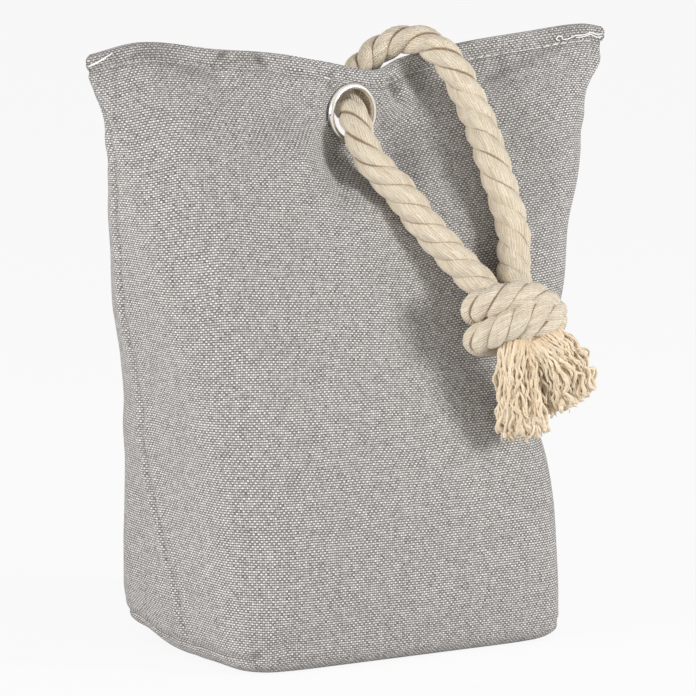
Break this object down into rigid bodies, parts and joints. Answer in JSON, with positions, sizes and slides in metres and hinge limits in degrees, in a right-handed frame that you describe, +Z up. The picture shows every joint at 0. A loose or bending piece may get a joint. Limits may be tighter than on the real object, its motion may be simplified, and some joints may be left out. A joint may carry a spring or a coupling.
{
  "type": "weighted fabric door stop",
  "caption": "Sand-filled fabric bag that holds a door open, boxed at the base, sewn flat along the top, with a knotted rope carrying loop through a metal eyelet.",
  "frame": {"origin": "middle of the bag's width and depth, on the floor it stands on", "axes": "+Z up; +X along the width of the bag, to the right of a person facing its front; -Y out of the front, where the knot hangs"},
  "size_m": [0.204, 0.1187, 0.2089],
  "materials": {
    "woven_fabric": "plain-woven melange fabric in light and mid grey",
    "plated_metal": "polished nickel plate",
    "cotton_rope": "natural twisted cotton, undyed cream"
  },
  "bodies": {
    "root": {"filled_bag": "woven_fabric", "eyelet": "plated_metal", "eyelet_washer": "plated_metal", "rope_loop": "cotton_rope", "rope_knot": "cotton_rope", "frayed_end_left": "cotton_rope", "frayed_end_right": "cotton_rope"}
  },
  "joints": []
}
